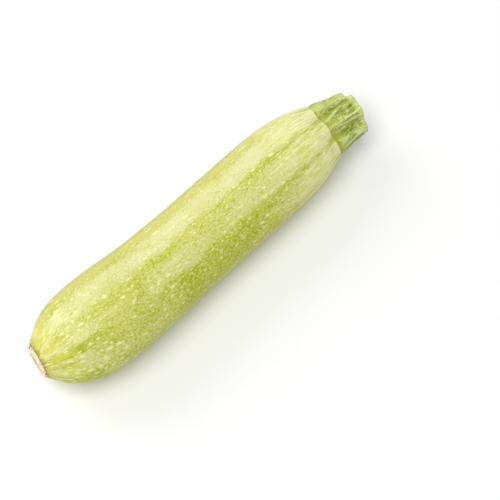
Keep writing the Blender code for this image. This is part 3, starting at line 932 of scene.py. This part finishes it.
@dataclass
class Fruit:
    """The whole green fruit."""

    name: str = "fruit_skin"
    node: str = "fruit"
    scar_node: str = "blossom_scar"
    levels: int = 2
    lump_mm: float = 0.16
    lump_size_mm: float = 9.0
    ripple_mm: float = 0.07
    ripple_size_mm: float = 2.3
    stretch: float = 0.6
    pleats: int = 14
    pleat_mm: float = 0.22
    pleat_zone: Fade = (9.0, 1.5)
    pleat_wave_mm: float = 7.0
    ridge_mm: float = 0.11
    ridge_wide_mm: float = 1.1
    ridge_long_mm: float = 30.0
    ridge_zone: Fade = (146.0, 174.0)
    drift_rise: Fade = (5.0, 30.0)
    drift_fall: Fade = (95.0, 55.0)
    underside_crease: float = 0.8
    pattern_drift: Stops = ((0, -8.0), (15, -6.8), (60, -0.8), (120, -0.8), (150, 3.0), (181, 4.2))
    sutures: tuple[Suture, ...] = (
        Suture(((0, -162), (178, -162)), ((30, 0.5), (45, 0.0), (130, 0.0), (150, 0.8), (178, 0.9))),
        Suture(((0, -119), (178, -119)), ((26, 0.4), (40, 0.0), (138, 0.0), (154, 0.6), (178, 0.8))),
        Suture(((0, -77), (178, -77)), ((34, 0.5), (50, 0.0), (126, 0.0), (146, 0.7), (178, 0.9))),
        Suture(((0, -37), (178, -37)), ((12, 0.3), (30, 0.2), (45, 0.0), (140, 0.0), (178, 0.0))),
        Suture(((0, 4), (14, 8.7), (40, 9.7), (60, 7), (110, 0), (140, 0), (150, 2.5), (168, 3), (174, 0), (178, -1.5)),
               ((9, 0.0), (14, 0.5), (38, 0.45), (48, 0.0), (136, 0.1), (148, 0.8), (166, 0.85), (170, 0.5),
                (174, 0.8), (178, 0.9))),
        Suture(((0, 30), (15, 31.2), (60, 37.2), (120, 37.2), (150, 41), (178, 42.2)),
               ((6, 0.2), (24, 0.35), (36, 0.2), (50, 0.0), (136, 0.2), (150, 0.75), (178, 0.75))),
        Suture(((0, 72), (60, 76), (140, 80), (155, 84), (178, 79)),
               ((28, 0.3), (44, 0.0), (132, 0.2), (144, 0.6), (156, 0.4), (164, 0.15), (178, 0.3))),
        Suture(((0, 118), (178, 118)), ((30, 0.4), (44, 0.0), (132, 0.0), (150, 0.8), (178, 0.9))),
        Suture(((0, 158), (178, 158)), ((30, 0.4), (44, 0.0), (136, 0.0), (152, 0.6), (178, 0.8))),
    )
    finish: SkinFinish = SkinFinish()

    def build(self) -> bpy.types.Object:
        """Makes, shapes and paints the fruit.

        Returns:
            The finished piece.
        """
        line = CentreLine(self.node)
        piece = Bench.merged_copy(self.node, self.name)
        with Bench.editing(piece):
            flats = Bench.pick_faces(piece, lambda f: f.normal.z < -0.9999 and f.center.z < 0.00002)
            if flats > 1:
                bpy.ops.mesh.dissolve_faces()
            Bench.crease_rim(self.underside_crease)
            Bench.pick_faces(piece, lambda f: f.normal.x > 0.8 and f.center.x > piece.bound_box[6][0] - 3 * MM)
            Bench.crease_rim(1.0)
        Bench.subdivide(piece, self.levels)
        self.chart(piece, line)
        self.shape(piece, line)
        Bench.finish(piece, self.node, self.finish.material())
        return piece

    def distances(self, places: np.ndarray) -> np.ndarray:
        """How far places lie from the blossom end, in millimetres."""
        return (places[:, 0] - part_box(self.node)[0].x) / MM

    def chart(self, piece: bpy.types.Object, line: CentreLine) -> None:
        """Writes the coordinates that the skin's pattern grows along.

        Args:
            piece: the fruit.
            line: its middle.
        """
        places = Bench.points(piece)
        roll, radius = line.polar(places)
        distance = self.distances(places)
        away, drawn = np.full(len(roll), 100.0), np.zeros(len(roll))
        for suture in self.sutures:
            gap, strength = suture.measure(roll, radius / MM, distance)
            away, drawn = np.where(gap < away, gap, away), np.where(gap < away, strength, drawn)
        Bench.write(piece, Attribute.AWAY, away)
        Bench.write(piece, Attribute.DRAWN, drawn)
        stations, drifts = zip(*self.pattern_drift)
        facing = smooth(np.degrees(roll), *self.drift_rise) * smooth(np.degrees(roll), *self.drift_fall)
        roll = roll - np.radians(np.interp(distance, stations, drifts)) * facing
        grown = np.stack([np.cos(roll) * PATTERN_RADIUS_MM, np.sin(roll) * PATTERN_RADIUS_MM, distance], axis=1)
        Bench.write(piece, Attribute.GROWN, grown)
        turns = np.linspace(-math.pi, math.pi, 73)
        ends = np.array([np.max(distance[np.abs(roll - t) < 0.09]) for t in turns])
        Bench.write(piece, Attribute.REACH, np.interp(roll, turns, ends) - distance)
        low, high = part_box(self.scar_node)
        middle, half = (low + high) / 2, (high - low) / 2
        beyond = np.hypot((places[:, 1] - middle.y) / half.y, (places[:, 2] - middle.z) / half.z) - 1.0
        Bench.write(piece, Attribute.SEAT, beyond * half.z / MM)

    def shape(self, piece: bpy.types.Object, line: CentreLine) -> None:
        """Works soft lumps, pleats and ridges into the skin, away from its flat underside.

        Args:
            piece: the fruit.
            line: its middle.
        """
        places = Bench.points(piece)
        roll, _ = line.polar(places)
        distance = self.distances(places)
        ring = np.stack([np.cos(roll), np.sin(roll)], axis=1) * PATTERN_RADIUS_MM
        spots = np.concatenate([ring, distance[:, None] * self.stretch], axis=1)
        push = self.lump_mm * (turbulence(spots / self.lump_size_mm, 2, 3.1) * 0.5 - 0.35)
        push += self.ripple_mm * turbulence(spots / self.ripple_size_mm, 1, 8.2)
        tight = smooth(distance, *self.pleat_zone)
        uneven = roll * self.pleats + 2.2 * turbulence(np.insert(ring / self.pleat_wave_mm, 2, 0.0, axis=1), 1, 5.5)
        push -= self.pleat_mm * tight * (0.5 + 0.5 * np.cos(uneven)) * smooth(distance, -1.0, 1.5)
        long_spots = np.concatenate([ring / self.ridge_wide_mm, distance[:, None] / self.ridge_long_mm], axis=1)
        push += self.ridge_mm * smooth(distance, *self.ridge_zone) * turbulence(long_spots, 1, 1.7)
        facing = Bench.normals(piece)
        clear = smooth(places[:, 2] / MM, 0.1, 2.2)
        seat = smooth(facing[:, 0], 0.97, 0.8)
        Bench.move(piece, places + facing * (push * clear * seat * MM)[:, None])


@dataclass(frozen=True)
class Streak:
    """A pale or dark streak along one rib of the stem; a few of the dark ones are painted shade.

    Its place and width are shares of the rib's width, and its ends shares of the stem's length.
    """

    rib: int
    across: float
    width: float
    start: float
    end: float
    strength: float
    soft: float = 0.08

    def strength_at(self, rib: np.ndarray, across: np.ndarray, share: np.ndarray) -> np.ndarray:
        """How strong the streak is at some places.

        Args:
            rib: the ribs' numbers.
            across: the places across the ribs.
            share: how far the places are from the foot, as a share of the stem's length.

        Returns:
            More than 0 where the streak is pale and less than 0 where it is dark.
        """
        window = smooth(share, self.start - self.soft, self.start + self.soft)
        window = window * smooth(share, self.end + self.soft, self.end - self.soft)
        return self.strength * np.exp(-(((across - self.across) / self.width) ** 2)) * window * (rib == self.rib)


@dataclass
class Stem:
    """The stub of the stem, with five ribs and a knife-cut end."""

    name: str = "stem_stub"
    node: str = "stem"
    levels: int = 2
    foot_furrows: tuple[float, ...] = (-5.0, 38.0, 118.0, 198.0, 283.0)
    cut_furrows: tuple[float, ...] = (-43.0, 53.0, 120.0, 188.0, 254.0)
    streaks: tuple[Streak, ...] = (
        Streak(0, 0.13, 0.10, -0.10, 0.92, -0.95), Streak(0, 0.30, 0.06, 0.12, 0.45, 0.60),
        Streak(0, 0.46, 0.11, 0.05, 0.90, -0.55), Streak(0, 0.66, 0.05, 0.12, 0.45, 0.60),
        Streak(0, 0.68, 0.028, 0.45, 1.00, 0.95), Streak(0, 0.75, 0.03, 0.35, 0.90, -0.70),
        Streak(0, 0.81, 0.022, 0.30, 0.75, 0.75), Streak(0, 0.90, 0.05, 0.25, 0.75, -0.10),
        Streak(1, 0.05, 0.05, 0.00, 1.00, -0.25), Streak(1, 0.36, 0.11, 0.50, 0.80, 0.90),
        Streak(1, 0.46, 0.06, 0.26, 0.48, 0.80), Streak(1, 0.24, 0.07, 0.08, 0.36, 0.55),
        Streak(1, 0.33, 0.05, 0.30, 0.58, -0.70), Streak(1, 0.16, 0.05, 0.40, 0.95, -0.35),
        # Painted shade: rib 1 at 0.45 darkens the corner by the fruit, and rib 1 at 0.64 darkens the stem's lower edge.
        Streak(1, 0.45, 0.16, -0.30, 0.13, -0.80), Streak(1, 0.64, 0.09, -0.20, 1.20, -1.00),
        Streak(1, 0.14, 0.07, 0.80, 1.20, 0.50),
        Streak(2, 0.10, 0.07, 0.00, 1.00, -0.60), Streak(2, 0.34, 0.04, 0.20, 0.90, 0.70),
        Streak(2, 0.58, 0.05, 0.40, 1.00, 0.60), Streak(2, 0.80, 0.04, 0.10, 0.80, -0.50),
        Streak(3, 0.08, 0.06, 0.00, 1.00, -0.60), Streak(3, 0.28, 0.04, 0.10, 0.70, 0.60),
        Streak(3, 0.50, 0.06, 0.30, 1.00, 0.70), Streak(3, 0.66, 0.04, 0.00, 0.80, -0.50),
        Streak(3, 0.82, 0.03, 0.30, 0.90, 0.60),
        # Painted shade: rib 4 at 0.36 darkens the stem's upper edge.
        Streak(4, 0.36, 0.12, -0.20, 1.20, -0.80), Streak(4, 0.60, 0.035, 0.30, 0.90, 0.55),
        Streak(4, 0.88, 0.05, 0.30, 0.95, 0.42), Streak(4, 0.72, 0.04, 0.30, 0.90, -0.15),
        Streak(4, 0.74, 0.17, 0.02, 0.40, 0.50), Streak(4, 0.80, 0.16, 0.50, 1.20, 0.35),
    )
    crest_mm: float = 0.20
    streak_mm: float = 0.16
    streak_steps: Steps = (0.9, 0.9, 26.0)
    knob_mm: float = 0.12
    knob_steps: Steps = (1.4, 1.4, 2.2)
    saw_mm: float = 0.12
    saw_steps: Steps = (0.9, 4.0, 1.0)
    wave_steps: Steps = (6.0, 6.0, 5.0)
    wave_share: float = 0.03
    foot_mm: float = 0.8
    turn_step: float = 0.06
    directions: int = 121
    finish: StemFinish = StemFinish()

    def build(self, fruit_start: float) -> bpy.types.Object:
        """Makes, shapes and paints the stem.

        Args:
            fruit_start: where the fruit's blossom end is along X.

        Returns:
            The finished piece.
        """
        line = CentreLine(self.node)
        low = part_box(self.node)[0]
        piece = Bench.merged_copy(self.node, self.name)
        with Bench.editing(piece):
            Bench.pick_faces(piece, lambda f: f.normal.x < -0.6 and f.center.x < low.x + 3 * MM)
            Bench.crease_rim(1.0)
        Bench.subdivide(piece, self.levels)
        self.shape(piece, line, fruit_start)
        Bench.finish(piece, self.node, self.finish.material((low.x - fruit_start) / MM))
        return piece

    def rib_places(self, roll: np.ndarray, share: np.ndarray) -> tuple[np.ndarray, np.ndarray, np.ndarray]:
        """Where places lie on the ribs, which drift round the stem from its foot to the cut.

        Args:
            roll: the roll angles in radians.
            share: how far the places are from the foot, as a share of the stem's length.

        Returns:
            The roll angles in radians that the same streaks have at the foot, the place across the rib, which is 0
            in one furrow and 1 in the next, and the rib's number.
        """
        foot = np.array([*self.foot_furrows, self.foot_furrows[0] + 360.0])
        cut = np.array([*self.cut_furrows, self.cut_furrows[0] + 360.0])
        furrows = foot + share[:, None] * (cut - foot)
        turned = (np.degrees(roll) - furrows[:, 0]) % 360.0 + furrows[:, 0]
        at_foot, across, rib = np.zeros(len(roll)), np.zeros(len(roll)), np.zeros(len(roll), dtype=int)
        for i in range(len(self.foot_furrows)):
            on_rib = (turned >= furrows[:, i]) & (turned <= furrows[:, i + 1])
            place = (turned[on_rib] - furrows[on_rib, i]) / (furrows[on_rib, i + 1] - furrows[on_rib, i])
            across[on_rib] = place
            rib[on_rib] = i
            at_foot[on_rib] = foot[i] + place * (foot[i + 1] - foot[i])
        return np.radians(at_foot), across, rib

    def shape(self, piece: bpy.types.Object, line: CentreLine, fruit_start: float) -> None:
        """Writes the stem's measures and works crests, streaks and knobs into its rind.

        Args:
            piece: the stem.
            line: its middle.
            fruit_start: where the fruit's blossom end is along X.
        """
        places = Bench.points(piece)
        facing = Bench.normals(piece)
        roll, radius = line.polar(places)
        low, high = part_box(self.node)
        along = (places[:, 0] - low.x) / MM
        length = (high.x - low.x) / MM
        cut = smooth(facing[:, 0], 0.55, 0.8) * smooth(along, length * 0.6, length * 0.7)

        turns = np.linspace(-math.pi, math.pi, self.directions)
        near = [np.abs(roll - turn) < self.turn_step for turn in turns]
        rim = [np.max(radius[one & (cut > 0.5)], initial=4 * MM) for one in near]
        ends = [np.max(along[one & (cut < 0.5)], initial=0.0) for one in near]
        reach = radius / np.interp(roll, turns, rim)
        short = np.interp(roll, turns, ends) - along
        at_foot, across, rib = self.rib_places(roll, np.clip(along / length, 0.0, 1.0))
        # Painted furrow shade: 0 in a furrow, 1 from a fifth of the way across the rib, and a little lower again at its
        # far edge.
        ridge = smooth(across, 0.0, 0.20) * (1.0 - 0.5 * smooth(across, 0.95, 1.0))
        grown = np.stack([np.cos(at_foot) * radius / MM, np.sin(at_foot) * radius / MM,
                          (places[:, 0] - fruit_start) / MM], axis=1)
        wavy = across + self.wave_share * turbulence(grown / self.wave_steps, 1, 12.1)
        crest = sum(streak.strength_at(rib, wavy, along / length) for streak in self.streaks)
        for which, values in ((Attribute.GROWN, grown), (Attribute.RIDGE, ridge), (Attribute.CREST, crest),
                              (Attribute.CUT, cut), (Attribute.REACH, reach), (Attribute.AWAY, short)):
            Bench.write(piece, which, values)

        streaks = turbulence(grown / self.streak_steps, 1, 2.4)
        knobs = np.maximum(turbulence(grown / self.knob_steps, 1, 9.9), 0.0)
        push = self.streak_mm * (streaks - 0.35) + self.knob_mm * (knobs - 0.3)
        push += self.crest_mm * (np.clip(crest, -0.5, 1.0) - 1.0)
        push *= (1.0 - cut) * smooth(along, 0.3, 3.0)
        push += cut * self.saw_mm * (turbulence(grown / self.saw_steps, 1, 6.6) - 0.4)
        places = places + facing * (push * MM)[:, None]
        places[:, 0] -= smooth(along, 1.2, 0.0) * self.foot_mm * MM
        Bench.move(piece, places)


@dataclass
class BlossomScar:
    """The corky button where the flower fell off.

    Each of the flower's remains has its roll angle in degrees, its depth behind the face and its size.
    """

    name: str = "scar_cork"
    node: str = "blossom_scar"
    levels: int = 3
    crease_mm: float = 0.32
    crease_turn: float = 3.2
    crease_stretch: float = 0.16
    crumb_mm: float = 0.14
    crumb_size_mm: float = 0.9
    seat_mm: float = 0.45
    front: Fade = (0.6, 0.2)
    back: Fade = (0.2, 0.8)
    remains: tuple[Steps, ...] = (
        (-66, 2.6, 1.2), (-45, 3.0, 1.0), (-28, 2.8, 0.6), (5, 3.0, 0.6), (38, 2.8, 0.8), (54, 2.6, 0.9),
        (74, 1.4, 1.1), (110, 1.6, 0.8), (150, 2.2, 0.9), (-160, 1.0, 0.7), (-120, 2.0, 1.0), (-95, 1.0, 0.6))
    finish: CorkFinish = CorkFinish()

    def build(self) -> bpy.types.Object:
        """Makes, shapes and paints the scar.

        Returns:
            The finished piece.
        """
        piece = Bench.merged_copy(self.node, self.name)
        Bench.subdivide(piece, self.levels)
        self.shape(piece)
        Bench.finish(piece, self.node, self.finish.material())
        return piece

    def shape(self, piece: bpy.types.Object) -> None:
        """Writes the scar's measures and works creases and crumbs into it.

        Args:
            piece: the scar.
        """
        places = Bench.points(piece)
        facing = Bench.normals(piece)
        low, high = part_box(self.node)
        middle = (low + high) / 2
        side, rise = (places[:, 1] - middle.y) / MM, (places[:, 2] - middle.z) / MM
        depth = (places[:, 0] - low.x) / MM
        radius = np.hypot(side, rise)
        angle = np.arctan2(side, rise)
        reach = radius / (max(high.y - low.y, high.z - low.z) / 2 / MM)
        grown = np.stack([side, rise, depth], axis=1)
        round_spots = np.stack([np.cos(angle) * self.crease_turn, np.sin(angle) * self.crease_turn,
                                radius * self.crease_stretch], axis=1)
        creases = 1.0 - np.abs(turbulence(round_spots, 2, 4.4)) * 2.2
        creases = np.clip(creases, 0.0, 1.0) ** 2 * smooth(radius, 1.0, 2.5)
        remains = np.zeros(len(places))
        for roll, inwards, size in self.remains:
            turned = (np.degrees(np.arctan2(-side, rise)) - roll + 180) % 360 - 180
            gap = np.hypot(turned * np.radians(radius), depth - inwards)
            remains = np.maximum(remains, smooth(gap, size, size * 0.3))
        for which, values in ((Attribute.GROWN, grown), (Attribute.RIDGE, 1.0 - creases), (Attribute.REACH, reach),
                              (Attribute.REMAINS, remains * smooth(reach, 0.6, 0.8))):
            Bench.write(piece, which, values)
        front = smooth(facing[:, 0], *self.front)
        push = -self.crease_mm * creases + self.crumb_mm * (turbulence(grown / self.crumb_size_mm, 2, 7.7) - 0.5)
        places = places + facing * (push * front * MM)[:, None]
        places[:, 0] += smooth(facing[:, 0], *self.back) * self.seat_mm * MM
        Bench.move(piece, places)


# ---------------------------------------------------------------------------------------------- studio


@dataclass(frozen=True)
class Lamp:
    """A round soft light that looks at the fruit."""

    name: str
    towards: tuple[float, float, float]
    size: float
    watts: float
    away: float = 1.7

    def hang(self) -> None:
        """Hangs the light."""
        towards = Vector(self.towards).normalized()
        bpy.ops.object.light_add(type="AREA", location=towards * self.away)
        light = bpy.context.object
        light.name = self.name
        light.rotation_euler = towards.to_track_quat("Z", "Y").to_euler()
        light.data.shape = "DISK"
        light.data.size = self.size
        light.data.energy = self.watts


@dataclass
class Studio:
    """A plain pale floor, two large soft lights in a white room, and the camera."""

    floor_size: float = 8.0
    floor_colour: Colour = (0.86, 0.86, 0.86)
    floor_roughness: float = 0.9
    floor_specular: float = 0.1
    room_strength: float = 0.44
    lamps: tuple[Lamp, ...] = (
        Lamp("key_light", (-0.28, -0.09, 0.95), 1.2, 20.8),
        Lamp("far_light", (-0.20, 0.80, 0.60), 1.2, 9.6),
    )
    camera_place: tuple[float, float, float] = (-0.225582, -0.289523, 0.899553)
    camera_aim: tuple[float, float, float] = (0.013172, -0.019440, 0.020604)
    camera_lens: float = 142.645

    def build(self) -> None:
        """Sets up the floor, the lights and the camera."""
        self.lay_floor()
        self.hang_lights()
        self.place_camera()

    def lay_floor(self) -> None:
        """Lays the floor under the fruit."""
        Bench.clear()
        bpy.ops.mesh.primitive_plane_add(size=self.floor_size)
        floor = bpy.context.object
        floor.name = "floor"
        paper = bpy.data.materials.new("paper")
        paper.use_nodes = True
        shader = paper.node_tree.nodes["Principled BSDF"]
        shader.inputs["Base Color"].default_value = (*self.floor_colour, 1.0)
        shader.inputs["Roughness"].default_value = self.floor_roughness
        shader.inputs["Specular IOR Level"].default_value = self.floor_specular
        floor.data.materials.append(paper)

    def hang_lights(self) -> None:
        """Hangs the soft lights and lights the room."""
        for lamp in self.lamps:
            lamp.hang()
        room = bpy.data.worlds.new("room")
        room.use_nodes = True
        walls = room.node_tree.nodes["Background"]
        walls.inputs["Color"].default_value = (1.0, 1.0, 1.0, 1.0)
        walls.inputs["Strength"].default_value = self.room_strength
        bpy.context.scene.world = room
        bpy.context.scene.view_settings.view_transform = "Standard"

    def place_camera(self) -> None:
        """Places the camera at the photograph's angle."""
        camera = bpy.data.cameras.new("camera")
        camera.lens = self.camera_lens
        camera.sensor_width = 36.0
        camera.clip_start = 0.01
        camera.clip_end = 20.0
        holder = bpy.data.objects.new("camera", camera)
        bpy.context.scene.collection.objects.link(holder)
        holder.location = self.camera_place
        view = Vector(self.camera_aim) - Vector(self.camera_place)
        holder.rotation_euler = view.to_track_quat("-Z", "Y").to_euler()
        bpy.context.scene.camera = holder


def main() -> None:
    """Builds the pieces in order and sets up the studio."""
    logging.basicConfig(level=logging.INFO, format="%(name)s: %(message)s")
    fruit = Fruit()
    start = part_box(fruit.node)[0].x
    for piece in (fruit.build(), Stem().build(start), BlossomScar().build()):
        LOG.info("%s has %d points and %d faces", piece.name, len(piece.data.vertices), len(piece.data.polygons))
    Studio().build()
    LOG.info("the studio is set up")


if __name__ == "__main__":
    main()
